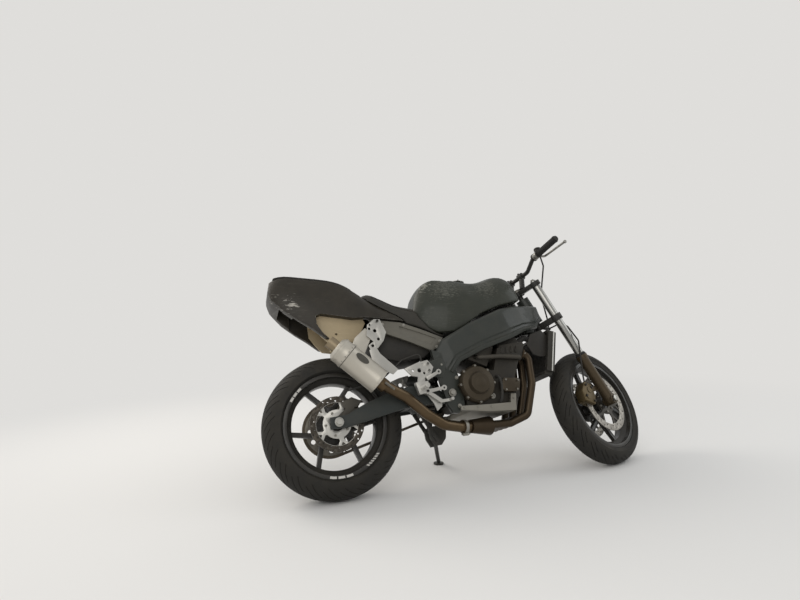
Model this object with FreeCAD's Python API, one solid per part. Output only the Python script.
# Naked sport motorcycle, parked: leaning on its side stand with the bars on the left stop.
# Every piece is drawn on the upright motorcycle: X forward, Y to its left, Z up, in millimetres,
# with the origin on the ground under the rear axle. The last section turns the steering to its
# stop, leans the whole machine onto the stand and puts the floor at Z = 0.

import FreeCAD, Part
import math
import os

V = FreeCAD.Vector
X_AXIS = V(1, 0, 0)
Y_AXIS = V(0, 1, 0)
Z_AXIS = V(0, 0, 1)

# Chassis
WHEELBASE = 1380.0
RAKE = 24.2                # steering axis from the vertical, degrees
TRAIL = 97.0
LEAN = 19.45               # lean to the left on the side stand, degrees
STEER = 22.0               # bars to the left at rest, which is the left stop, degrees

# Rims, and how high each tyre stands over the rim flange
FLANGE_R = 229.0
BEAD_DEPTH = 12.0
WELL_DEPTH = 21.0
RIM_WALL = 6.0
REAR_WALL = 86.0
FRONT_WALL = 70.0
REAR_W = 183.0
FRONT_W = 120.0
BEAD_R = FLANGE_R - BEAD_DEPTH
WELL_R = BEAD_R - WELL_DEPTH
REAR_R = FLANGE_R + REAR_WALL
FRONT_R = FLANGE_R + FRONT_WALL
REAR_DROP = REAR_WALL * 0.872      # how far the widest place lies below the crown
FRONT_DROP = FRONT_WALL * 0.657
REAR_RIM_HALF = REAR_W / 2 - 21.5
FRONT_RIM_HALF = FRONT_W / 2 - 15.5

# Clearances
SEAT_GAP = 0.3             # between a rim and its tyre, a hub and its disc
RUN_GAP = 6.0              # between what turns and what stands still
SPIN_GAP = 0.3             # between an axle and the wheel's bore

# Axles
REAR_AXLE_R = 10.0
FRONT_AXLE_R = 10.0

# Chain line
CHAIN_Y = REAR_W / 2 + 13.5
CHAIN_PITCH = 15.875
CHAIN_W = 16.0
CHAIN_H = 14.0
REAR_TEETH = 48
FRONT_TEETH = 16
SPROCKET_T = 6.0

# Brakes
REAR_DISC_Y = -REAR_W / 2 - 8.5
REAR_DISC_R = 119.0
FRONT_DISC_Y = FRONT_W / 2 + 2
FRONT_DISC_R = 148.0
DISC_T = 5.0

# Swingarm
ARM_T = 24.0
ARM_IN = CHAIN_Y + CHAIN_W / 2 + 5
ARM_OUT = ARM_IN + ARM_T

# Fork
FORK_Y = FRONT_DISC_Y + 36
TUBE_R = 21.5
SLIDER_R = 27.0
LOWER_CLAMP_Z = 720.0
UPPER_CLAMP_Z = 915.0
TUBE_TOP_Z = 945.0
SLIDER_TOP_Z = 540.0

# Bars
BAR_Z = 1015.0
BAR_HALF = 350.0
BAR_R = 11.0

# Engine and exhaust
ENGINE_HALF = 148.0
COVER_Y = ENGINE_HALF + SEAT_GAP
CAN_R = 57.0
PIPE_R = 24.0
HEADER_R = 19.0

# Side stand
FOOT_T = 8.0

TAN_RAKE = math.tan(math.radians(RAKE))
STEER_AXIS = V(-math.sin(math.radians(RAKE)), 0, math.cos(math.radians(RAKE)))
STEER_FOOT = V(WHEELBASE + TRAIL, 0, 0)
REAR_AXLE = V(0, 0, REAR_R)
FRONT_AXLE = V(WHEELBASE, 0, FRONT_R)
FORK_OFFSET = FRONT_R * TAN_RAKE - TRAIL
STEERED = FreeCAD.Rotation(STEER_AXIS, STEER)
LEANED = FreeCAD.Rotation(X_AXIS, -LEAN)


def axis_x(z):
    """Where the steering axis is at height z."""
    return STEER_FOOT.x - z * TAN_RAKE


def fork_x(z):
    """Where the fork legs' centre line is at height z."""
    return axis_x(z) + FORK_OFFSET


# Lengths between the wheels are drawn for a steering head 1117.5 mm ahead of the rear axle at
# a height of 800 mm, and follow it.
STRETCH = axis_x(800.0) / 1117.5


def at(x, y, z):
    """A place on the machine between its wheels."""
    return V(x * STRETCH, y, z)


# General shapes

def rod(p, q, radius):
    """A round bar from p to q."""
    return Part.makeCylinder(radius, (q - p).Length, p, q - p)


def round_y(x, z, y0, y1, radius):
    """A round bar along Y at its own x and z."""
    return rod(V(x, y0, z), V(x, y1, z), radius)


def cross(x, z, y0, y1, radius):
    """A round bar along Y between the wheels."""
    return round_y(x * STRETCH, z, y0, y1, radius)


def slab(points, y0, y1):
    """An outline of (x, z) points, extruded from y0 to y1."""
    corners = [V(x, y0, z) for x, z in points]
    face = Part.Face(Part.makePolygon(corners + corners[:1]))
    return face.extrude(V(0, y1 - y0, 0))


def plate(points, y0, y1):
    """A plate between the wheels: an outline of (x, z) points, extruded from y0 to y1."""
    return slab([(x * STRETCH, z) for x, z in points], y0, y1)


def taper(p, q, half_p, half_q, y0, y1):
    """A flat tapered bar between points p and q given as (x, z)."""
    length = math.hypot(q[0] - p[0], q[1] - p[1])
    nx = -(q[1] - p[1]) / length
    nz = (q[0] - p[0]) / length
    outline = [
        (p[0] + nx * half_p, p[1] + nz * half_p),
        (q[0] + nx * half_q, q[1] + nz * half_q),
        (q[0] - nx * half_q, q[1] - nz * half_q),
        (p[0] - nx * half_p, p[1] - nz * half_p),
    ]
    return slab(outline, y0, y1)


def strip(p, q, half_p, half_q, y0, y1):
    """A flat tapered bar between the wheels."""
    return taper((p[0] * STRETCH, p[1]), (q[0] * STRETCH, q[1]), half_p, half_q, y0, y1)


def turned(profile, centre):
    """A profile of (radius, y) points turned about the Y axis through centre."""
    corners = [V(radius, y, 0) for radius, y in profile]
    face = Part.Face(Part.makePolygon(corners + corners[:1]))
    body = face.revolve(V(0, 0, 0), Y_AXIS, 360)
    body.translate(centre)
    return body


def washer(centre, y0, y1, outer, inner):
    """A flat ring about the Y axis."""
    profile = [(inner, y0), (outer, y0), (outer, y1), (inner, y1)]
    return turned(profile, V(centre.x, 0, centre.z))


def fuse(pieces):
    """All the pieces as one solid."""
    whole = pieces[0]
    if len(pieces) > 1:
        whole = whole.multiFuse(pieces[1:])
    return whole.removeSplitter()


def pipe(points, bend, radius):
    """A round bar through the points, with each corner bent to the radius bend."""
    pieces = []
    start = points[0]
    for before, corner, after in zip(points, points[1:], points[2:]):
        back = (before - corner).normalize()
        on = (after - corner).normalize()
        half = math.acos(back.dot(on)) / 2
        a = corner + back * (bend / math.tan(half))
        b = corner + on * (bend / math.tan(half))
        middle = corner + (back + on).normalize() * (bend / math.sin(half))
        ring = Part.Face(Part.Wire(Part.makeCircle(radius, a, back)))
        pieces.append(rod(start, a, radius))
        pieces.append(ring.revolve(middle, (a - middle).cross(b - middle), 180 - math.degrees(2 * half)))
        start = b
    pieces.append(rod(start, points[-1], radius))
    return fuse(pieces)


def mirrored(piece):
    """The piece on the other side of the machine."""
    return piece.mirror(V(0, 0, 0), Y_AXIS)


def both_sides(piece):
    """The piece with its mirror image on the other side."""
    return [piece, mirrored(piece)]


def ring_of(piece, count, centre, start=0.0):
    """Copies of a piece spaced evenly round the Y axis through centre."""
    copies = []
    for index in range(count):
        copy = piece.copy()
        copy.rotate(centre, Y_AXIS, start + index * 360.0 / count)
        copies.append(copy)
    return copies


def crowned_section(x, top, crest_y, crest_z, side_y, side_z, low_y, low_z):
    """A closed outline across the machine: a crowned top, bulged sides and a flat bottom."""
    left = Part.Arc(at(x, low_y, low_z), at(x, side_y, side_z), at(x, crest_y, crest_z))
    over = Part.Arc(at(x, crest_y, crest_z), at(x, 0, top), at(x, -crest_y, crest_z))
    right = Part.Arc(at(x, -crest_y, crest_z), at(x, -side_y, side_z), at(x, -low_y, low_z))
    under = Part.LineSegment(at(x, -low_y, low_z), at(x, low_y, low_z))
    return Part.Wire([left.toShape(), over.toShape(), right.toShape(), under.toShape()])


def crowned_body(table):
    """A smooth body through crowned sections."""
    return Part.makeLoft([crowned_section(*row) for row in table], True, False)


def grown(table, by):
    """A section table with every section larger all round."""
    return [(x, top + by, cy + by, cz + by, sy + by, sz, ly + by, lz - by)
            for x, top, cy, cz, sy, sz, ly, lz in table]


# Wheels and tyres

def crown_radius(width, drop):
    """Radius of the tyre's round crown across its width."""
    return ((width / 2) ** 2 + drop ** 2) / (2 * drop)


def tyre(radius, width, drop, rim_half, axle):
    """A tyre as a ring about the Y axis. One edge of its crown runs where it meets the floor."""
    crown = crown_radius(width, drop)
    edge = math.acos(1 - drop / crown)
    contact = abs(math.asin(LEANED.multVec(axle).z))
    half = []
    for angle in (edge, (edge + contact) / 2, contact):
        half.append((radius - crown + crown * math.cos(angle), crown * math.sin(angle)))
    seat = BEAD_R + SEAT_GAP
    lip = rim_half - SEAT_GAP
    out = rim_half + RIM_WALL + 1
    bead = [(seat, lip), (FLANGE_R + 0.6, lip), (FLANGE_R + 1.2, out)]
    left = bead + half
    right = [(r, -y) for r, y in reversed(left)]
    return turned(left + [(radius, 0)] + right, V(0, 0, 0))


def rim(rim_half):
    """The barrel of a wheel with its two flanges."""
    edge = rim_half + RIM_WALL
    profile = [
        (FLANGE_R, -edge), (FLANGE_R, -rim_half), (BEAD_R, -rim_half),
        (BEAD_R, -rim_half + 20), (WELL_R, -rim_half + 32),
        (WELL_R, rim_half - 32), (BEAD_R, rim_half - 20),
        (BEAD_R, rim_half), (FLANGE_R, rim_half), (FLANGE_R, edge),
        (BEAD_R - 4, edge), (BEAD_R - RIM_WALL, rim_half - 18),
        (WELL_R - RIM_WALL, rim_half - 32), (WELL_R - RIM_WALL, -rim_half + 32),
        (BEAD_R - RIM_WALL, -rim_half + 18), (BEAD_R - 4, -edge),
    ]
    return turned(profile, V(0, 0, 0))


def y_spoke(half_t):
    """One spoke: a stem from the hub that splits into two arms 60 degrees apart at the rim."""
    stem = 88.0
    reach = WELL_R - 3
    pieces = [taper((25, 0), (stem, 0), 26, 19, -half_t, half_t)]
    for side in (-1, 1):
        turn = math.radians(30 * side)
        tip = (reach * math.cos(turn), reach * math.sin(turn))
        pieces.append(taper((stem - 16, 8 * side), tip, 11, 10, 3 - half_t, half_t - 3))
    return fuse(pieces)


def wheel(rim_half, hub, bore, half_t, start):
    """A cast wheel: rim, hub profile and three split spokes."""
    spokes = ring_of(y_spoke(half_t), 3, V(0, 0, 0), start)
    body = fuse([rim(rim_half), turned(hub, V(0, 0, 0))] + spokes)
    reach = max(abs(y) for _, y in hub) + 20
    return body.cut(round_y(0, 0, -reach, reach, bore))


def rear_wheel():
    """Cast rear wheel with its sprocket carrier on the left."""
    carrier = CHAIN_Y - SPROCKET_T / 2 - SEAT_GAP
    disc_seat = REAR_DISC_Y + 10 + SEAT_GAP
    hub = [
        (5, disc_seat), (58, disc_seat), (58, disc_seat + 5), (40, disc_seat + 12), (34, -60), (46, -34),
        (46, 40), (74, 52), (78, carrier - 8), (62, carrier), (5, carrier),
    ]
    body = wheel(REAR_RIM_HALF, hub, REAR_AXLE_R + SPIN_GAP, 17, 25)
    body.translate(REAR_AXLE)
    return body


def rear_tyre():
    """180/55-17 tyre."""
    body = tyre(REAR_R, REAR_W, REAR_DROP, REAR_RIM_HALF, Y_AXIS)
    body.translate(REAR_AXLE)
    return body


def front_wheel():
    """Cast front wheel."""
    seat = FRONT_DISC_Y - DISC_T / 2 - SEAT_GAP
    hub = [
        (5, -seat), (60, -seat), (60, -seat + 5), (36, -seat + 10), (28, -34), (32, -20), (32, 20),
        (28, 34), (36, seat - 10), (60, seat - 5), (60, seat), (5, seat),
    ]
    body = wheel(FRONT_RIM_HALF, hub, FRONT_AXLE_R + SPIN_GAP, 13, -20)
    body.translate(FRONT_AXLE)
    return body


def front_tyre():
    """120/70-17 tyre."""
    body = tyre(FRONT_R, FRONT_W, FRONT_DROP, FRONT_RIM_HALF, STEERED.multVec(Y_AXIS))
    body.translate(FRONT_AXLE)
    return body


def drill(x, z, y0, y1, radius):
    """An eight-sided cutter along Y for a small hole."""
    corners = []
    for index in range(8):
        turn = math.radians(22.5 + 45 * index)
        corners.append((x + radius * math.cos(turn), z + radius * math.sin(turn)))
    return slab(corners, y0, y1)


def brake_disc(centre, y, outer, band, arms, star, phase):
    """A drilled steel band on a star carrier with forked arms. The carrier spans y in star."""
    y0 = y - DISC_T / 2
    y1 = y + DISC_T / 2
    inner = outer - band
    ring = washer(V(0, 0, 0), y0, y1, outer, inner)
    for radius, first in ((outer - band * 0.28, 0), (outer - band * 0.72, 360.0 / 36)):
        ring = ring.cut(Part.makeCompound(ring_of(drill(radius, 0, y0 - 1, y1 + 1, 4), 18, V(0, 0, 0), first)))
    hub_r = 62.0
    knee_r = hub_r + (inner - hub_r) * 0.4
    pieces = [ring, washer(V(0, 0, 0), *star, hub_r, REAR_AXLE_R + 20)]
    arm = [taper((hub_r - 6, 0), (knee_r, 0), 12, 9, *star)]
    for side in (-1, 1):
        tip = (inner + 6, side * inner * 0.24)
        arm.append(taper((knee_r - 3, side * 2), tip, 6.5, 5.5, *star))
    pieces += ring_of(fuse(arm), arms, V(0, 0, 0), phase)
    disc = fuse(pieces)
    disc.translate(V(centre.x, 0, centre.z))
    return disc


def rear_disc():
    """Rear brake disc on its bright five-armed star, which stands inboard of the band."""
    star = (REAR_DISC_Y + 1, REAR_DISC_Y + 10)
    return brake_disc(REAR_AXLE, REAR_DISC_Y, REAR_DISC_R, 27, 5, star, 5)


def front_discs():
    """Two front brake discs, one each side of the hub."""
    star = (FRONT_DISC_Y - DISC_T / 2, FRONT_DISC_Y + DISC_T / 2)
    disc = brake_disc(FRONT_AXLE, FRONT_DISC_Y, FRONT_DISC_R, 34, 6, star, 10)
    return Part.makeCompound(both_sides(disc))


def sprocket(teeth, centre, y, bore):
    """A chain sprocket with a straight-sided tooth gap under each roller."""
    pitch_r = CHAIN_PITCH / 2 / math.sin(math.pi / teeth)
    corners = []
    for index in range(teeth):
        for share, radius in ((-0.28, pitch_r - 5), (0.28, pitch_r - 5), (0.42, pitch_r + 3.5), (0.58, pitch_r + 3.5)):
            turn = 2 * math.pi * (index + share) / teeth
            corners.append((radius * math.cos(turn), radius * math.sin(turn)))
    body = slab(corners, y - SPROCKET_T / 2, y + SPROCKET_T / 2)
    body = body.cut(round_y(0, 0, y - SPROCKET_T, y + SPROCKET_T, bore))
    body.translate(V(centre.x, 0, centre.z))
    return body


# Drive chain

FRONT_SPROCKET = at(622, 0, 402)


def rear_sprocket():
    """Rear sprocket, lightened by round holes, on the wheel's carrier."""
    body = sprocket(REAR_TEETH, REAR_AXLE, CHAIN_Y, REAR_AXLE_R + 20)
    y0 = CHAIN_Y - SPROCKET_T
    for one in ring_of(drill(92, REAR_R, y0, y0 + 2 * SPROCKET_T, 11), 12, REAR_AXLE):
        body = body.cut(one)
    return body


def chain_path(offset):
    """The loop round both sprockets, offset outwards from the pitch line."""
    big = CHAIN_PITCH / 2 / math.sin(math.pi / REAR_TEETH) + offset
    small = CHAIN_PITCH / 2 / math.sin(math.pi / FRONT_TEETH) + offset
    span = FRONT_SPROCKET - REAR_AXLE
    tilt = math.atan2(span.z, span.x)
    wrap = math.acos((big - small) / math.hypot(span.x, span.z))
    corners = []
    for centre, radius in ((REAR_AXLE, big), (FRONT_SPROCKET, small)):
        for side in (1, -1):
            angle = tilt + side * wrap
            corners.append(V(centre.x + radius * math.cos(angle), 0, centre.z + radius * math.sin(angle)))
    back = V(REAR_AXLE.x - big * math.cos(tilt), 0, REAR_AXLE.z - big * math.sin(tilt))
    front = V(FRONT_SPROCKET.x + small * math.cos(tilt), 0, FRONT_SPROCKET.z + small * math.sin(tilt))
    top_r, low_r, top_f, low_f = corners
    edges = [
        Part.LineSegment(top_r, top_f).toShape(),
        Part.Arc(top_f, front, low_f).toShape(),
        Part.LineSegment(low_f, low_r).toShape(),
        Part.Arc(low_r, back, top_r).toShape(),
    ]
    return Part.Wire(edges)


def chain():
    """Drive chain as one closed loop: two side bands joined by its outer web."""
    outer = Part.Face(chain_path(CHAIN_H / 2))
    inner = Part.Face(chain_path(-CHAIN_H / 2))
    middle = Part.Face(chain_path(4.3))
    band = outer.cut(inner).extrude(V(0, CHAIN_W, 0))
    slot = middle.extrude(V(0, SPROCKET_T + 1.6, 0))
    slot.translate(V(0, (CHAIN_W - SPROCKET_T - 1.6) / 2, 0))
    body = band.cut(slot)
    body.translate(V(0, CHAIN_Y - CHAIN_W / 2, 0))
    return body


# Side stand bolt, on the frame's ear

STAND_PIVOT = at(515, 128, 215)
STAND_BOLT_R = 6.0


# Frame

SPAR = [
    # x, y, z of the centre, half height, half thickness
    (1118, 36, 800, 40, 16),
    (1062, 76, 768, 60, 17),
    (960, 128, 748, 66, 18),
    (860, 156, 718, 77, 18),
    (690, 164, 658, 71, 17),
    (560, 146, 600, 68, 16),
    (510, 130, 530, 62, 14),
]


def spar_section(index):
    """One section of a main spar, square to its run, with a rib groove on its outer face."""
    x, y, z, high, thick = SPAR[index]
    before = at(*SPAR[max(index - 1, 0)][:3])
    after = at(*SPAR[min(index + 1, len(SPAR) - 1)][:3])
    run = (after - before).normalize()
    out = run.cross(Z_AXIS).normalize()
    if out.y < 0:
        out = out * -1
    up = out.cross(run).normalize()
    if up.z < 0:
        up = up * -1
    outline = [
        (-high, -thick), (high, -thick), (high, thick * 0.5), (high * 0.86, thick),
        (-high * 0.38, thick), (-high * 0.5, thick * 0.55), (-high * 0.66, thick * 0.55),
        (-high * 0.78, thick), (-high, thick * 0.6),
    ]
    corners = [at(x, y, z) + up * a + out * b for a, b in outline]
    return Part.makePolygon(corners + corners[:1])


def frame():
    """Twin-spar alloy frame: steering head, two spars, pivot plates and cross members."""
    head_low = V(axis_x(LOWER_CLAMP_Z + 36), 0, LOWER_CLAMP_Z + 36)
    head_high = V(axis_x(UPPER_CLAMP_Z - 22), 0, UPPER_CLAMP_Z - 22)
    spar = Part.makeLoft([spar_section(i) for i in range(len(SPAR))], True, True)
    pivot = [
        (462, 610), (548, 575), (572, 500), (588, 430), (585, 345), (552, 308),
        (525, 312), (505, 350), (492, 420), (478, 500),
    ]
    hanger = [(412, 512), (440, 480), (500, 476), (524, 540), (500, 566), (430, 550)]
    halves = [
        spar,
        plate(pivot, ARM_IN, ARM_OUT + 4),
        plate([(1040, 700), (1084, 700), (1098, 765), (1122, 790), (1100, 836), (1040, 812)], 0, 40),
        plate(hanger, ARM_OUT + 2, ARM_OUT + 10),
    ]
    pieces = [rod(head_low, head_high, 34)]
    for half in halves:
        pieces += both_sides(half)
    pieces.append(cross(492, 578, -ARM_IN - 2, ARM_IN + 2, 18))
    pieces.append(cross(530, 400, -ARM_OUT - 16, ARM_OUT + 16, 17))
    ear = STAND_PIVOT + STAND_AXIS * 11
    pieces.append(rod(ear, ear + STAND_AXIS * 14, 16))
    pieces.append(rod(ear + STAND_AXIS * 11, at(548, 131, 316), 10))
    pieces.append(rod(STAND_PIVOT - STAND_AXIS * 12.5, ear, STAND_BOLT_R))
    body = fuse(pieces)
    return body.cut(rod(head_low + STEER_AXIS * -5, head_high + STEER_AXIS * 5, 27))


def subframe():
    """Rear subframe: cast side members, upper rails and cross pieces."""
    casting = [
        (478, 612), (528, 640), (540, 674), (433, 721), (339, 757), (231, 772), (200, 776), (212, 742),
        (258, 708), (375, 661),
    ]
    recess = [(330, 740), (425, 706), (508, 672), (476, 640), (400, 670), (330, 700)]
    rail = [(238, 745), (238, 771), (190, 812), (120, 828), (-60, 870), (-70, 848), (120, 806), (180, 794)]
    member = plate(casting, 99, 116).cut(plate(recess, 110, 120))
    pieces = both_sides(member) + both_sides(plate(rail, 80, 96))
    pieces += both_sides(plate([(200, 740), (238, 738), (238, 771), (200, 776)], 80, 116))
    for x, z, half in ((500, 648, 102), (330, 726, 102), (220, 757, 84), (-48, 857, 84)):
        pieces.append(cross(x, z, -half, half, 9))
    return fuse(pieces)


# Engine

def engine_block():
    """Crankcase, cylinders and head, closed inside, with the gearbox sprocket."""
    case = [
        (598, 335), (842, 335), (872, 365), (880, 430), (850, 470), (760, 492), (640, 505), (598, 470),
    ]
    gearbox = [(548, 360), (585, 335), (640, 335), (640, 505), (600, 470)]
    cylinders = [(752, 470), (862, 452), (912, 560), (800, 600)]
    head = [(792, 570), (915, 535), (948, 610), (940, 625.5), (814, 612)]
    crown = [(814, 600), (944, 600), (948, 610), (925, 655), (850, 672), (822, 640)]
    body = fuse([
        plate(case, -ENGINE_HALF, ENGINE_HALF),
        plate(gearbox, SEAT_GAP - ARM_IN, ARM_IN - 28),
        plate(cylinders, -ENGINE_HALF, ENGINE_HALF),
        plate(head, -ENGINE_HALF + 2, ENGINE_HALF - 2),
        plate(crown, -116, 116),
    ])
    pocket = [(500, 330), (668, 330), (672, 352), (676, 402), (668, 460), (500, 480)]
    body = body.cut(plate(pocket, CHAIN_Y - 15, 300))
    shaft = round_y(FRONT_SPROCKET.x, FRONT_SPROCKET.z, CHAIN_Y - 25, CHAIN_Y + 10, 14)
    return fuse([body, shaft, sprocket(FRONT_TEETH, FRONT_SPROCKET, CHAIN_Y, 9)])


def oil_pan():
    """Silver oil pan with a ledge along each side of the crankcase."""
    pan = plate([(604, 334.7), (838, 334.7), (830, 296), (693, 301), (612, 312)], -ENGINE_HALF, ENGINE_HALF)
    ledge = [(556, 318), (558, 336), (700, 333), (808, 333), (817, 374), (843, 372), (830, 296), (693, 301)]
    left = [(556, 318), (558, 336), (700, 333), (836, 333), (830, 296), (693, 301)]
    core = [(604, 334.7), (804, 332.7), (804, 304), (612, 312)]
    return fuse([
        pan,
        plate(ledge, -COVER_Y - 18, -COVER_Y),
        plate(left, COVER_Y, COVER_Y + 18),
        plate(core, -COVER_Y - 1, COVER_Y + 1),
    ])


def round_cover(x, z, radius, depth, side):
    """A dished round engine cover with a raised centre."""
    profile = [
        (0.5, 0), (radius, 0), (radius, depth * 0.35), (radius * 0.9, depth * 0.6),
        (radius * 0.62, depth * 0.66), (radius * 0.52, depth), (0.5, depth),
    ]
    profile = [(r, side * (COVER_Y + d)) for r, d in profile]
    return turned(profile, at(x, 0, z))


def engine_covers():
    """Clutch cover and crank end cover on the right, generator and sprocket covers on the left."""
    crank_end = [(772, 396), (784, 384), (846, 380), (858, 390), (869, 430), (860, 441), (790, 447), (779, 438)]
    sprocket_side = [(585, 455), (690, 468), (712, 420), (700, 350), (600, 345), (596, 400)]
    return Part.makeCompound([
        round_cover(655, 430, 86, 60, -1),
        round_cover(805, 412, 62, 52, 1),
        plate(crank_end, -COVER_Y - 34, -COVER_Y),
        plate(sprocket_side, COVER_Y, COVER_Y + 6),
    ])


def carburettors():
    """Bank of four carburettors between the head and the air box, with the breather hose."""
    block = [(655, 560), (742, 520), (788, 600), (798, 640), (738, 668), (660, 672)]
    pieces = [plate(block, -118, 118)]
    for y in (-88, -30, 30, 88):
        pieces.append(rod(at(738, y, 577.2), at(784.8, y, 560), 20))
        pieces.append(rod(at(724, y, 650), at(724, y, 681.3), 24))
    hose = [at(690, -110, 572), at(690, -160, 556), at(800, -160, 556), at(905, -160, 546), at(905, -148.5, 546)]
    pieces.append(pipe(hose, 12, 11))
    return fuse(pieces)


# Cooling and intake

RADIATOR_X = WHEELBASE - FRONT_R - 17


def radiator():
    """Radiator core with side tanks and its hanger."""
    low = (RADIATOR_X, 470)
    high = (RADIATOR_X + 56, 668)
    tanks = [taper(low, high, 20, 20, side * 128, side * 150) for side in (-1, 1)]
    pieces = [taper(low, high, 14, 14, -128, 128)] + tanks
    pieces.append(taper((low[0] + 55, 664), (low[0] + 59, 680), 19, 19, -128, 128))
    pieces.append(taper((low[0] - 4, 458), (low[0] + 1, 474), 19, 19, -128, 128))
    hanger = [(-2, 668), (44, 676), (36, 699.7), (14, 699.7)]
    pieces.append(slab([(low[0] + x, z) for x, z in hanger], -14, 14))
    pieces.append(rod(V(low[0] + 40, -100, 629.4), V(low[0] + 14, -100, 630.4), 13))
    return fuse(pieces)


def radiator_hose():
    """Coolant hose from the radiator to the cylinder head."""
    start = V(RADIATOR_X + 13.7, -100, 630.4)
    return pipe([start, V(RADIATOR_X - 24, -100, 632), at(985, -90, 657.5), at(936.9, -90, 632.8)], 22, 14)


def air_box():
    """Black intake housing between the spars, and the side panels below it."""
    outline = [
        (644, 706), (690, 734.5), (860, 811.3), (980, 842), (1000, 780), (900, 700),
        (868, 672.4), (850, 672.4), (660, 690),
    ]
    panel = [
        (RADIATOR_X + 0.6, 548), (RADIATOR_X + 29.4, 650), (RADIATOR_X + 2, 684), (1000 * STRETCH, 664),
        (972 * STRETCH, 610), (996 * STRETCH, 562), (RADIATOR_X - 34, 548),
    ]
    return Part.makeCompound([plate(outline, -84, 84)] + both_sides(slab(panel, 129, 135)))


# Exhaust

COLLECTOR = at(720, -75, 246)
COLLECTOR_RUN = V(-0.97, -0.242, 0.0194)
CAN_FRONT = at(182, -200, 464)
CAN_BACK = at(18, -204, 617)
CAN_RUN = (CAN_BACK - CAN_FRONT).normalize()


def exhaust_headers():
    """Four header pipes down the front of the engine into one collector."""
    pieces = []
    for y in (-122, -42, 42, 122):
        points = [
            at(932.1, y, 572.3), at(970, y, 555.6), at(955, y * 1.1, 420), at(905, y, 275),
            at(820, y * 0.7 - 12, 246), at(700, -75 + y * 0.22, 246),
        ]
        pieces.append(pipe(points, 34, HEADER_R))
    pieces.append(Part.makeCone(44, 30, 110, COLLECTOR, COLLECTOR_RUN))
    return fuse(pieces)


def mid_pipe():
    """Link pipe from the collector up to the silencer, with its clamp and sleeve."""
    points = [
        COLLECTOR + COLLECTOR_RUN * 110.3, COLLECTOR + COLLECTOR_RUN * 165, at(470, -148, 262),
        at(390, -158, 316), at(300, -176, 395), CAN_FRONT - CAN_RUN * 20,
    ]
    sleeve = rod(CAN_FRONT - CAN_RUN * 34, CAN_FRONT - CAN_RUN * SEAT_GAP, PIPE_R + 6)
    clamp = rod(points[1] - COLLECTOR_RUN * 29, points[1] - COLLECTOR_RUN * 10, PIPE_R + 6)
    return fuse([pipe(points, 60, PIPE_R), sleeve, clamp])


def muffler():
    """Short fat silencer with end caps, an outlet tip and a hanger ear."""
    can = rod(CAN_FRONT, CAN_BACK, CAN_R)
    front_cap = Part.makeCone(CAN_R - 12, CAN_R + 1, 12, CAN_FRONT, CAN_RUN)
    band = rod(CAN_BACK - CAN_RUN * 46, CAN_BACK - CAN_RUN * 34, CAN_R + 2)
    rear_cap = Part.makeCone(CAN_R + 1, CAN_R - 14, 16, CAN_BACK, CAN_RUN)
    tip = rod(CAN_BACK, CAN_BACK + CAN_RUN * 58, 27)
    ear = [(106, 684), (158, 728), (188, 696), (140, 600), (88, 545), (60, 590)]
    foot = [(100, 650), (128, 628), (88, 545), (60, 590)]
    hanger = [plate(ear, -ARM_OUT - 2.7, -ARM_OUT + 2.3), plate(foot, -ARM_OUT - 24, -ARM_OUT + 2.3)]
    body = fuse([can, front_cap, band, rear_cap, tip] + hanger)
    return body.cut(rod(CAN_BACK + CAN_RUN * 4, CAN_BACK + CAN_RUN * 70, 24))


def muffler_bracket():
    """Slotted plate from the subframe down to the silencer's ear, with the heel guard."""
    outline = [
        (168, 742), (202, 768), (230, 766), (254, 704), (238, 664), (208, 630), (174, 620),
        (164, 644), (190, 662), (160, 690),
    ]
    near = -ARM_OUT - 3
    bracket = plate(outline, near - 5, near)
    for x, z, r in ((201, 712, 8), (214, 672, 7), (184, 642, 7), (176, 722, 6)):
        bracket = bracket.cut(cross(x, z, near - 10, near + 5, r))
    post = cross(216, 757, near - 3, -116 - SEAT_GAP, 7)
    guard = [(166, 622), (196, 640), (214, 604), (290, 526), (264, 504), (178, 548)]
    body = fuse([bracket, post, plate(guard, near - 5, near - 2)])
    return body.cut(rod(CAN_FRONT, CAN_BACK, CAN_R + SEAT_GAP))


# Tank, seat and tail

TANK = [
    # x, top, crest y, crest z, side y, side z, low y, low z
    (420, 830, 40, 822, 70, 760, 70, 700),
    (480, 960, 62, 950, 106, 850, 100, 712),
    (540, 998, 76, 984, 132, 850, 124, 700),
    (680, 986, 96, 965, 152, 850, 142, 715),
    (850, 1000, 104, 975, 150, 880, 136, 790),
    (990, 935, 84, 915, 112, 868, 104, 820),
]
TANK_SIDE = [
    (424, 818), (446, 900), (464, 968), (484, 990), (512, 995), (560, 984), (610, 976),
    (680, 984), (760, 992), (850, 994), (916, 978), (972, 950), (1002, 910), (1000, 852),
    (862, 820), (748, 778), (654, 720), (580, 688), (524, 702), (480, 728), (442, 776),
]


def tank():
    """Fuel tank: flanks by sections, with the rider's side outline cut through them."""
    body = crowned_body(TANK).common(plate(TANK_SIDE, -200, 200))
    flange = rod(at(700, 0, 980), at(700, 0, 993), 48)
    return fuse([body, flange, rod(at(700, 0, 988), at(700, 0, 999), 34)])


SEAT = [
    (168, 914, 60, 905, 84, 890, 96, 860),
    (250, 904, 84, 893, 110, 860, 114, 810),
    (345, 856, 92, 846, 118, 808, 118, 760),
    (432, 840, 84, 829, 114, 780, 116, 731),
    (510, 800, 78, 786, 106, 740, 110, 695),
    (560, 760, 60, 750, 90, 725, 96, 682),
]
DECK = [(169, 892), (251, 833), (340, 779), (358, 765)]


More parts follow.
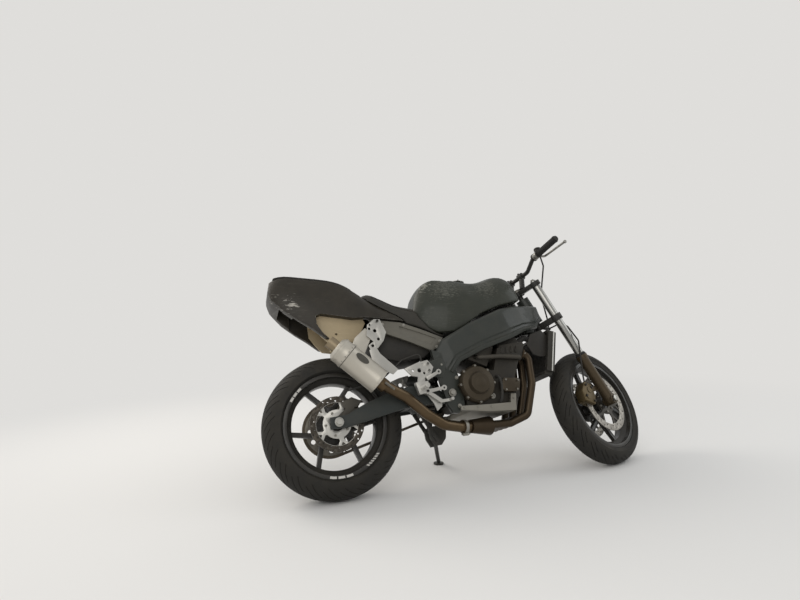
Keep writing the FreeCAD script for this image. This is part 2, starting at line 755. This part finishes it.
def seat():
    """Rider's seat pad, between the tank and the tail."""
    tank_edge = plate([(x - 0.4 / STRETCH, z - 0.4) for x, z in TANK_SIDE], -200, 200)
    deck = [(110, 600), (110, 934)] + [(x, z + 0.4) for x, z in DECK] + [(358.4, 600)]
    return crowned_body(SEAT).cut(tank_edge).cut(plate(deck, -200, 200)).cut(crowned_body(grown(TAIL, 0.4)))


TAIL = [
    (-262, 990, 46, 980, 62, 940, 58, 870),
    (-225, 1012, 76, 1000, 100, 930, 84, 790),
    (-120, 1012, 96, 993, 124, 890, 104, 725),
    (-20, 1000, 102, 978, 130, 865, 112, 680),
    (90, 968, 102, 948, 130, 850, 116, 680),
    (180, 902, 94, 890, 124, 835, 118, 700),
    (300, 850, 90, 838, 118, 800, 116, 730),
    (366, 812, 84, 800, 112, 775, 110, 740),
]
TAIL_SIDE = [
    (-264, 930), (-254, 990), (-228, 1024), (-107, 1024), (34, 1000), (90, 980), (126, 946), (150, 916),
] + DECK + [
    (312, 769), (167, 785), (110, 783), (32, 797), (-36, 809), (-60, 801), (-58, 763), (-34, 724),
    (-4, 695), (-22, 698), (-78, 745), (-129, 780), (-193, 830), (-247, 889),
]


def clear_of_rear_tyre(body):
    """The body with room for the turning rear tyre."""
    half = REAR_W / 2 + RUN_GAP
    return body.cut(round_y(0, REAR_R, -half, half, REAR_R + RUN_GAP))


def tail_cowl():
    """Rounded tail cowl, open underneath, with an arch on each side over the pale panels."""
    shell = crowned_body(TAIL).common(plate(TAIL_SIDE, -200, 200))
    narrow = [(-222, 620), (-214, 960), (-180, 984), (-100, 984), (40, 960), (100, 925), (130, 880), (130, 620)]
    wide = [(-160, 620), (-160, 930), (60, 925), (130, 885), (160, 862), (245, 812), (325, 766), (345, 620)]
    return clear_of_rear_tyre(shell.cut(plate(narrow, -74, 74)).cut(plate(wide, -98, 98)))


def tail_pad():
    """Thin raised pad on top of the tail."""
    window = plate([(-236, 900), (-236, 1060), (128, 1060), (128, 900)], -72, 72)
    return crowned_body(grown(TAIL, 9)).common(window).cut(crowned_body(grown(TAIL, 0.4)))


def undertail():
    """Pale inner guard over the wheel: a top sheet and a dished panel on each side."""
    outline = [
        (-70, 816), (-68, 760), (-42, 720), (-8, 684), (90, 668), (118, 690), (150, 724), (174, 768),
        (162, 790), (110, 800), (-36, 826),
    ]
    panel = plate(outline, -97, -84).cut(rod(at(-200, -238, 745), at(300, -238, 745), 150))
    panel = panel.cut(cross(34, 721, -110, -80, 6))
    sheet = plate([(-68, 800), (-36, 816), (110, 790), (160, 780), (164, 788), (110, 799), (-36, 825), (-70, 815)], -90, 90)
    hook = pipe([at(6, -90, 700), at(6, -90, 652), at(-6, -90, 640), at(24, -90, 636)], 5, 3.5)
    return clear_of_rear_tyre(fuse(both_sides(panel) + [sheet, hook]))


def battery_box():
    """Dark box under the seat, inside the subframe."""
    outline = [
        (196, 700), (182, 640), (194, 606), (318, 573), (438, 585), (462, 602), (474, 618),
        (375, 668), (262, 714),
    ]
    return clear_of_rear_tyre(plate(outline, -98.7, 98.7))


# Swingarm, axle, shock

def swingarm():
    """Alloy swingarm: two arms, a cross box, inner necks and the pivot tube."""
    z = REAR_R
    arm = [
        (-34 / STRETCH, z - 25), (40, z - 23), (300, 350), (440, 362), (440, 440),
        (330, 446), (222, 420), (120, 384), (40, z + 30), (-34 / STRETCH, z + 23),
    ]
    brace_x = REAR_R + RUN_GAP + 24
    pieces = both_sides(plate(arm, ARM_IN, ARM_OUT))
    pieces.append(slab([(brace_x, 368), (brace_x + 65, 372), (brace_x + 65, 424), (brace_x, 424)], -ARM_IN - 2, ARM_IN + 2))
    neck = [(380, 368), (545, 374), (557, 400), (545, 424), (380, 424)]
    pieces += both_sides(plate(neck, CHAIN_Y - 39, CHAIN_Y - 15))
    pieces += both_sides(plate([(380, 368), (436, 368), (436, 424), (380, 424)], CHAIN_Y - 35, ARM_OUT - 8))
    pieces.append(cross(530, 400, -ARM_IN + 12, ARM_IN - 12, 27))
    pieces.append(plate([(372, 372), (410, 372), (402, 342), (382, 342)], -37.7, 37.7))
    body = fuse(pieces).cut(cross(530, 400, -300, 300, 17.2))
    return clear_of_rear_tyre(body.cut(round_y(0, z, -300, 300, REAR_AXLE_R + SEAT_GAP)))


def rear_axle():
    """Rear axle with its nuts, washers and spacers."""
    reach = ARM_OUT + 16
    outer = ARM_OUT + SEAT_GAP
    pieces = [round_y(0, REAR_R, -reach, reach, REAR_AXLE_R)]
    for side in (-1, 1):
        pieces.append(round_y(0, REAR_R, side * outer, side * (ARM_OUT + 12), 16))
    pieces.append(round_y(0, REAR_R, CHAIN_Y, ARM_IN - SEAT_GAP, 15))
    pieces.append(round_y(0, REAR_R, REAR_DISC_Y + 4, -ARM_IN + 9, 15))
    return fuse(pieces)


def rear_caliper():
    """Rear caliper on its bracket above the disc."""
    outline = [(34, 60), (96, 64), (114, 88), (70, 108), (22, 88)]
    body = slab([(x, REAR_R + z) for x, z in outline], 0.3 - ARM_IN, REAR_DISC_Y + 28)
    slot = washer(REAR_AXLE, REAR_DISC_Y - 8, REAR_DISC_Y + 16, REAR_DISC_R + 5, 25)
    stay = taper((0, REAR_R), (72, REAR_R + 66), 22, 16, SEAT_GAP - ARM_IN, REAR_DISC_Y - 10)
    return fuse([body.cut(slot), stay]).cut(round_y(0, REAR_R, -200, 0, REAR_AXLE_R + SEAT_GAP))


def rear_brake_hose():
    """Rear brake hose from the caliper forward to the master cylinder behind the footrest plate."""
    start = V(46, 5 - ARM_IN, REAR_R + 98.4)
    points = [
        start, start + V(-14, 0, 34), at(132, -126, 468), at(232, -128, 504), at(318, -130, 572),
        at(403, -ARM_OUT - 7, 594), at(403, -ARM_OUT - 7, 545.3),
    ]
    return pipe(points, 18, 4)


def rear_shock():
    """Shock absorber with its spring, in the middle."""
    pin = at(450, 0, 258)
    top = at(492, 0, 578)
    axis = (top - pin).normalize()
    low = pin + axis * 8.4
    pieces = [rod(low, top - axis * 18.4, 13), rod(low + axis * 50, low + axis * 220, 25)]
    for index in range(7):
        base = low + axis * (62 + 22 * index)
        pieces.append(rod(base, base + axis * 10, 30))
    return fuse(pieces)


def linkage():
    """Shock linkage hanging under the swingarm."""
    rocker = plate([(432, 270), (468, 274), (520, 262), (512, 214), (488, 186), (455, 184), (436, 220)], 26, 37)
    links = strip((392, 354), (470, 205), 9, 9, 38, 44)
    pins = [cross(450, 258, -30, 30, 8), cross(470, 205, -40, 40, 8)]
    return fuse(both_sides(rocker) + both_sides(links) + pins)


# Footrests and controls

def eye_lever(root, eye, y0, y1):
    """A flat lever from its root to a round drilled eye."""
    body = fuse([strip(root, eye, 9, 6.5, y0, y1), cross(*eye, y0, y1, 12)])
    return body.cut(cross(*eye, y0 - 1, y1 + 1, 5))


def footrest_set():
    """Drilled plate, levers, peg block with its peg, and the pedal, on the right."""
    out = -ARM_OUT - 10 - SEAT_GAP
    near, far = out - 11, out - 3
    plate_line = [(314, 524), (346, 488), (430, 472), (453, 524), (429, 558), (379, 548)]
    body = plate(plate_line, near, far)
    for x, z, r in ((384, 512, 10), (402, 537, 7), (406, 498, 6), (354, 512, 6)):
        body = body.cut(cross(x, z, near - 5, far + 5, r))
    pieces = [body]
    for x, z in ((428, 540), (430, 508)):
        pieces.append(cross(x, z, near - 4, out, 9))
    pieces.append(strip((392, 492), (384, 440), 16, 18, near, far))
    block = [(350, 452), (410, 456), (404, 404), (362, 398)]
    pieces.append(plate(block, near - 26, near + 1))
    pieces.append(cross(381, 426, near - 92, near - 20, 11))
    pieces.append(eye_lever((412, 470), (473, 499), near - 8, near + 1))
    pieces.append(cross(402, 411, near - 24, far, 13))
    pieces.append(eye_lever((402, 412), (489, 424), near - 8, near))
    pieces.append(strip((402, 410), (462, 363), 8, 7, near - 18, near - 10))
    pieces.append(strip((458, 363), (506, 366), 7, 6, near - 18, near - 10))
    pieces.append(cross(506, 366, near - 48, near - 10, 7))
    tab = [(395, 415), (420, 418), (476, 374), (468, 342), (444, 324), (434, 356)]
    pieces.append(plate(tab, near + 2, far))
    pieces.append(plate([(396, 516), (410, 516), (410, 545), (396, 545)], near + 2, -ARM_OUT - 3))
    return fuse(pieces)


def footrests():
    """Footrest sets on both sides: brake pedal on the right, gear lever on the left."""
    return Part.makeCompound(both_sides(footrest_set()))


# Front end on the steering axis

def clamp_deck(z, depth):
    """A fork clamp: a bridge between two leg sockets and the stem."""
    centre = V(axis_x(z), 0, z)
    ahead = V(math.cos(math.radians(RAKE)), 0, math.sin(math.radians(RAKE)))
    offset = FORK_OFFSET * math.cos(math.radians(RAKE))
    legs = centre + ahead * offset
    pieces = [rod(centre, centre + STEER_AXIS * depth, 30)]
    for side in (-1, 1):
        leg = legs + V(0, side * FORK_Y, 0)
        pieces.append(rod(leg, leg + STEER_AXIS * depth, 31))
    outline = [
        (-26, -22), (26, -22), (FORK_Y, offset - 26), (FORK_Y, offset + 20),
        (24, offset + 12), (-24, offset + 12), (-FORK_Y, offset + 20), (-FORK_Y, offset - 26),
    ]
    corners = [centre + V(0, y, 0) + ahead * a for y, a in outline]
    bridge = Part.Face(Part.makePolygon(corners + corners[:1])).extrude(STEER_AXIS * depth)
    body = fuse(pieces + [bridge])
    for side in (-1, 1):
        leg = legs + V(0, side * FORK_Y, 0)
        body = body.cut(rod(leg - STEER_AXIS * 5, leg + STEER_AXIS * (depth + 5), TUBE_R))
    return body


def lower_clamp():
    """Lower fork clamp with the steering stem and the brake hose union."""
    low = V(axis_x(LOWER_CLAMP_Z), 0, LOWER_CLAMP_Z)
    union = HOSE_UNION + V(-38, 0, 0)
    return fuse([clamp_deck(LOWER_CLAMP_Z, 34), rod(low, low + STEER_AXIS * 222, 14), rod(union, HOSE_UNION, 9)])


BAR_X = axis_x(UPPER_CLAMP_Z) + 12
HOSE_UNION = V(fork_x(LOWER_CLAMP_Z + 16) + 34, 0, LOWER_CLAMP_Z + 16)


def upper_clamp():
    """Upper fork clamp with the bar risers and the ignition lock."""
    centre = V(axis_x(UPPER_CLAMP_Z), 0, UPPER_CLAMP_Z)
    bore = rod(centre - STEER_AXIS * 5, centre + STEER_AXIS * 40, 14 + SEAT_GAP)
    top = centre + STEER_AXIS * 23
    pieces = [clamp_deck(UPPER_CLAMP_Z, 24).cut(bore)]
    for side in (-1, 1):
        shift = V(0, side * 40, 0)
        pieces.append(rod(top + shift, V(BAR_X, side * 40, BAR_Z - 14), 14))
        pieces.append(round_y(BAR_X, BAR_Z, side * 40 - 14, side * 40 + 14, 20))
    pieces.append(rod(top + V(37, 0, -14), top + V(21, 0, 24), 14))
    body = fuse(pieces)
    return body.cut(round_y(BAR_X, BAR_Z, -60, 60, BAR_R + SEAT_GAP))


def fork_point(side, z):
    """A point on a fork leg's centre line."""
    return V(fork_x(z), side * FORK_Y, z)


def pair(maker):
    """The right and left pieces of a maker as one node."""
    return Part.makeCompound([maker(-1), maker(1)])


def fork_tube(side):
    """Bright fork tube from the top cap down into the slider."""
    inner = rod(fork_point(side, SLIDER_TOP_Z - 90), fork_point(side, TUBE_TOP_Z), TUBE_R)
    cap = rod(fork_point(side, TUBE_TOP_Z), fork_point(side, TUBE_TOP_Z + 12), 15)
    return fuse([inner, cap])


def fork_slider(side):
    """Fork slider with its axle lug and the caliper's ear."""
    top = fork_point(side, SLIDER_TOP_Z)
    body = rod(fork_point(side, FRONT_R - 8), top, SLIDER_R)
    seal = rod(fork_point(side, SLIDER_TOP_Z - 22), top, SLIDER_R + 3)
    lug = round_y(WHEELBASE, FRONT_R, side * (FORK_Y - 28), side * (FORK_Y + 29), 25)
    near = side * (FRONT_DISC_Y + 18)
    ear = taper((WHEELBASE - 40, FRONT_R + 73), (WHEELBASE - 97.7, FRONT_R + 58), 12, 12, near - 6, near + 6)
    ear = ear.cut(slab([(WHEELBASE + x, FRONT_R + z) for x, z in CALIPER_ROOM], near - 9, near + 9))
    body = fuse([body, seal, lug, ear])
    bore = rod(fork_point(side, SLIDER_TOP_Z - 95), fork_point(side, SLIDER_TOP_Z + 10), TUBE_R + SEAT_GAP)
    low_y = side * FORK_Y - 40
    return body.cut(bore).cut(round_y(WHEELBASE, FRONT_R, low_y, low_y + 80, FRONT_AXLE_R + SEAT_GAP))


def front_axle():
    """Front axle with its nut and spacers."""
    reach = FORK_Y + 38
    bar = round_y(WHEELBASE, FRONT_R, -reach, reach, FRONT_AXLE_R)
    nut = round_y(WHEELBASE, FRONT_R, -reach, -FORK_Y - 29.3, 15)
    head = round_y(WHEELBASE, FRONT_R, FORK_Y + 29.3, reach, 14)
    return fuse([bar, nut, head])


CALIPER = [(-186, -2), (-118, -22), (-98, 20), (-98, 84), (-150, 98), (-190, 52)]
CALIPER_ROOM = [(-190, -30), (-97.7, -30), (-97.7, 100), (-190, 110)]


def front_caliper(side):
    """Front brake caliper behind the fork leg, straddling its disc."""
    inner = side * (FRONT_DISC_Y - 22)
    outer = side * (FRONT_DISC_Y + 30)
    body = slab([(WHEELBASE + x, FRONT_R + z) for x, z in CALIPER], min(inner, outer), max(inner, outer))
    near = side * FRONT_DISC_Y - DISC_T / 2 - 3
    return body.cut(washer(FRONT_AXLE, near, near + DISC_T + 6, FRONT_DISC_R + 6, 60))


def bar_at(side, y):
    """A point on the straight outer part of the handlebar, y out from the middle."""
    share = (y - 170) / (BAR_HALF - 170)
    return V(BAR_X - 26 - 36 * share, side * y, BAR_Z + 34 - 6 * share)


def handlebar():
    """Tubular handlebar."""
    points = [
        bar_at(-1, BAR_HALF), bar_at(-1, 170), V(BAR_X, -90, BAR_Z),
        V(BAR_X, 90, BAR_Z), bar_at(1, 170), bar_at(1, BAR_HALF),
    ]
    return pipe(points, 50, BAR_R)


def grip(side):
    """Rubber grip on one end of the bar."""
    outside = rod(bar_at(side, 216), bar_at(side, BAR_HALF + 6), 16)
    return outside.cut(rod(bar_at(side, 200), bar_at(side, BAR_HALF + SEAT_GAP), BAR_R + 0.2))


def control(side):
    """Lever with its perch on one end of the bar."""
    perch = rod(bar_at(side, 187), bar_at(side, 212), 19)
    centre = bar_at(side, 200)
    arm = pipe([centre + V(14, 0, 0), centre + V(48, side * 14, -4), centre + V(40, side * 160, -8)], 12, 6)
    return fuse([perch, arm]).cut(rod(bar_at(side, 182), bar_at(side, 217), BAR_R + SEAT_GAP))


def brake_hoses():
    """Front brake hoses: each caliper to the union on the lower clamp, and on up to the bar."""
    pieces = []
    for side in (-1, 1):
        top = FRONT_AXLE + V(-132, side * (FRONT_DISC_Y + 16), 94)
        pieces.append(pipe([
            top, top + V(4, side * 4, 40), V(fork_x(600) - 14, side * (FORK_Y + 44), 600),
            V(fork_x(736) + 50, side * (FORK_Y + 10), 700), HOSE_UNION + V(18, side * 60, 0),
            HOSE_UNION + V(6, side * 3, 0),
        ], 24, 4))
    lever = bar_at(-1, 199)
    pieces.append(pipe([
        HOSE_UNION + V(6, 0, 0), HOSE_UNION + V(8, -10, 60), V(fork_x(900) + 58, -60, 900),
        lever + V(60, 20, -40), lever + V(44, 8, 18), lever + V(21.5, 0, 7),
    ], 16, 4))
    pieces.append(rod(HOSE_UNION + V(SEAT_GAP, 0, 0), HOSE_UNION + V(12, 0, 0), 8))
    return fuse(pieces)


# Side stand

def tyre_low(whole, axle, direction, radius, width, drop):
    """Height of the lowest point of a leaned tyre, whose crown is a circular arc."""
    crown = crown_radius(width, drop)
    along = whole.Rotation.multVec(direction)
    return whole.multVec(axle).z - (radius - crown) * math.sqrt(1 - along.z ** 2) - crown


def world_of_upright():
    """Placement that leans and pitches the upright machine so that both tyres touch Z = 0."""
    lean = FreeCAD.Placement(V(0, 0, 0), LEANED)
    steer = FreeCAD.Placement(V(0, 0, 0), STEERED, STEER_FOOT)
    axle_f = steer.multVec(FRONT_AXLE)
    dir_f = STEERED.multVec(Y_AXIS)
    pitch = 0.0
    for _ in range(6):
        nose = FreeCAD.Placement(V(0, 0, 0), FreeCAD.Rotation(Y_AXIS, pitch))
        whole = nose.multiply(lean)
        low_r = tyre_low(whole, REAR_AXLE, Y_AXIS, REAR_R, REAR_W, REAR_DROP)
        low_f = tyre_low(whole, axle_f, dir_f, FRONT_R, FRONT_W, FRONT_DROP)
        pitch += math.degrees(math.atan2(low_f - low_r, WHEELBASE))
    drop = FreeCAD.Placement(V(0, 0, -low_r), FreeCAD.Rotation())
    return drop.multiply(whole)


UPRIGHT = world_of_upright()
FLOOR_UP = UPRIGHT.Rotation.inverted().multVec(Z_AXIS)
FLOOR_POINT = UPRIGHT.inverse().multVec(V(0, 0, 0))


def floor_at(x, y):
    """The point of the floor above or below (x, y) of the upright machine."""
    z = FLOOR_POINT.z - (FLOOR_UP.x * (x - FLOOR_POINT.x) + FLOOR_UP.y * (y - FLOOR_POINT.y)) / FLOOR_UP.z
    return V(x, y, z)


FOOT = floor_at(596 * STRETCH, 344)
STOWED = V(-0.97, 0.15, 0.17)
STAND_LEG = (FOOT + FLOOR_UP * 20 - STAND_PIVOT).normalize()
STAND_AXIS = STAND_LEG.cross(STOWED).normalize()


def side_stand():
    """Side stand: eye on its bolt, leg and foot plate flat on the floor."""
    eye = rod(STAND_PIVOT - STAND_AXIS * 10.4, STAND_PIVOT + STAND_AXIS * 10.4, 15)
    leg = rod(STAND_PIVOT, FOOT + FLOOR_UP * 14, 10)
    foot = rod(FOOT, FOOT + FLOOR_UP * FOOT_T, 26)
    bore = rod(STAND_PIVOT - STAND_AXIS * 20, STAND_PIVOT + STAND_AXIS * 20, STAND_BOLT_R + 0.5)
    return fuse([eye, leg, foot]).cut(bore)


# The assembly: node, maker, body
NODES = [
    ("frame", frame, "root"),
    ("subframe", subframe, "root"),
    ("engine_block", engine_block, "root"),
    ("oil_pan", oil_pan, "root"),
    ("engine_covers", engine_covers, "root"),
    ("carburettors", carburettors, "root"),
    ("chain", chain, "root"),
    ("radiator", radiator, "root"),
    ("radiator_hose", radiator_hose, "root"),
    ("air_box", air_box, "root"),
    ("exhaust_headers", exhaust_headers, "root"),
    ("mid_pipe", mid_pipe, "root"),
    ("muffler", muffler, "root"),
    ("muffler_bracket", muffler_bracket, "root"),
    ("tank", tank, "root"),
    ("seat", seat, "root"),
    ("tail_cowl", tail_cowl, "root"),
    ("tail_pad", tail_pad, "root"),
    ("undertail", undertail, "root"),
    ("battery_box", battery_box, "root"),
    ("swingarm", swingarm, "root"),
    ("rear_axle", rear_axle, "root"),
    ("rear_caliper", rear_caliper, "root"),
    ("rear_brake_hose", rear_brake_hose, "root"),
    ("rear_shock", rear_shock, "root"),
    ("linkage", linkage, "root"),
    ("footrests", footrests, "root"),
    ("rear_wheel", rear_wheel, "rear_wheel_body"),
    ("rear_tyre", rear_tyre, "rear_wheel_body"),
    ("rear_disc", rear_disc, "rear_wheel_body"),
    ("rear_sprocket", rear_sprocket, "rear_wheel_body"),
    ("lower_clamp", lower_clamp, "steering_body"),
    ("upper_clamp", upper_clamp, "steering_body"),
    ("fork_tubes", lambda: pair(fork_tube), "steering_body"),
    ("fork_sliders", lambda: pair(fork_slider), "steering_body"),
    ("front_axle", front_axle, "steering_body"),
    ("front_calipers", lambda: pair(front_caliper), "steering_body"),
    ("handlebar", handlebar, "steering_body"),
    ("grips", lambda: pair(grip), "steering_body"),
    ("hand_levers", lambda: pair(control), "steering_body"),
    ("brake_hoses", brake_hoses, "steering_body"),
    ("front_wheel", front_wheel, "front_wheel_body"),
    ("front_tyre", front_tyre, "front_wheel_body"),
    ("front_discs", front_discs, "front_wheel_body"),
    ("side_stand", side_stand, "side_stand_body"),
]
STEERED_BODIES = ("steering_body", "front_wheel_body")


def placed():
    """Every node in its parked place, with the origin under the middle of the machine."""
    shapes = {}
    bounds = FreeCAD.BoundBox()
    for name, maker, body in NODES:
        shape = maker()
        if body in STEERED_BODIES:
            shape.rotate(STEER_FOOT, STEER_AXIS, STEER)
        shape.Placement = UPRIGHT.multiply(shape.Placement)
        shapes[name] = shape
        bounds.add(shape.optimalBoundingBox(False))
    middle = V(-bounds.Center.x, -bounds.Center.y, 0)
    for shape in shapes.values():
        shape.translate(middle)
    return shapes, bounds, middle


def main():
    os.makedirs("parts", exist_ok=True)
    shapes, bounds, middle = placed()
    for name, shape in shapes.items():
        shape.exportStep("parts/" + name + ".step")
        state = "ok" if shape.isValid() else "INVALID"
        print("NODE", name, state, len(shape.Solids), round(shape.Volume / 1000, 1))
    whole = FreeCAD.Placement(middle, FreeCAD.Rotation()).multiply(UPRIGHT)
    steered = whole.multiply(FreeCAD.Placement(V(0, 0, 0), STEERED, STEER_FOOT))
    joints = [
        ("steering", whole, V(axis_x(LOWER_CLAMP_Z), 0, LOWER_CLAMP_Z), STEER_AXIS),
        ("front_wheel_spin", steered, FRONT_AXLE, Y_AXIS),
        ("rear_wheel_spin", whole, REAR_AXLE, Y_AXIS),
        ("side_stand_swing", whole, STAND_PIVOT, STAND_AXIS),
    ]
    for name, frame_of, place, axis in joints:
        p = frame_of.multVec(place)
        a = frame_of.Rotation.multVec(axis)
        print("JOINT", name, *[round(c / 1000, 6) for c in p], *[round(c, 6) for c in a])
    print("SIZE", round(bounds.XLength, 2), round(bounds.YLength, 2), round(bounds.ZMax, 2), round(bounds.ZMin, 3))


main()
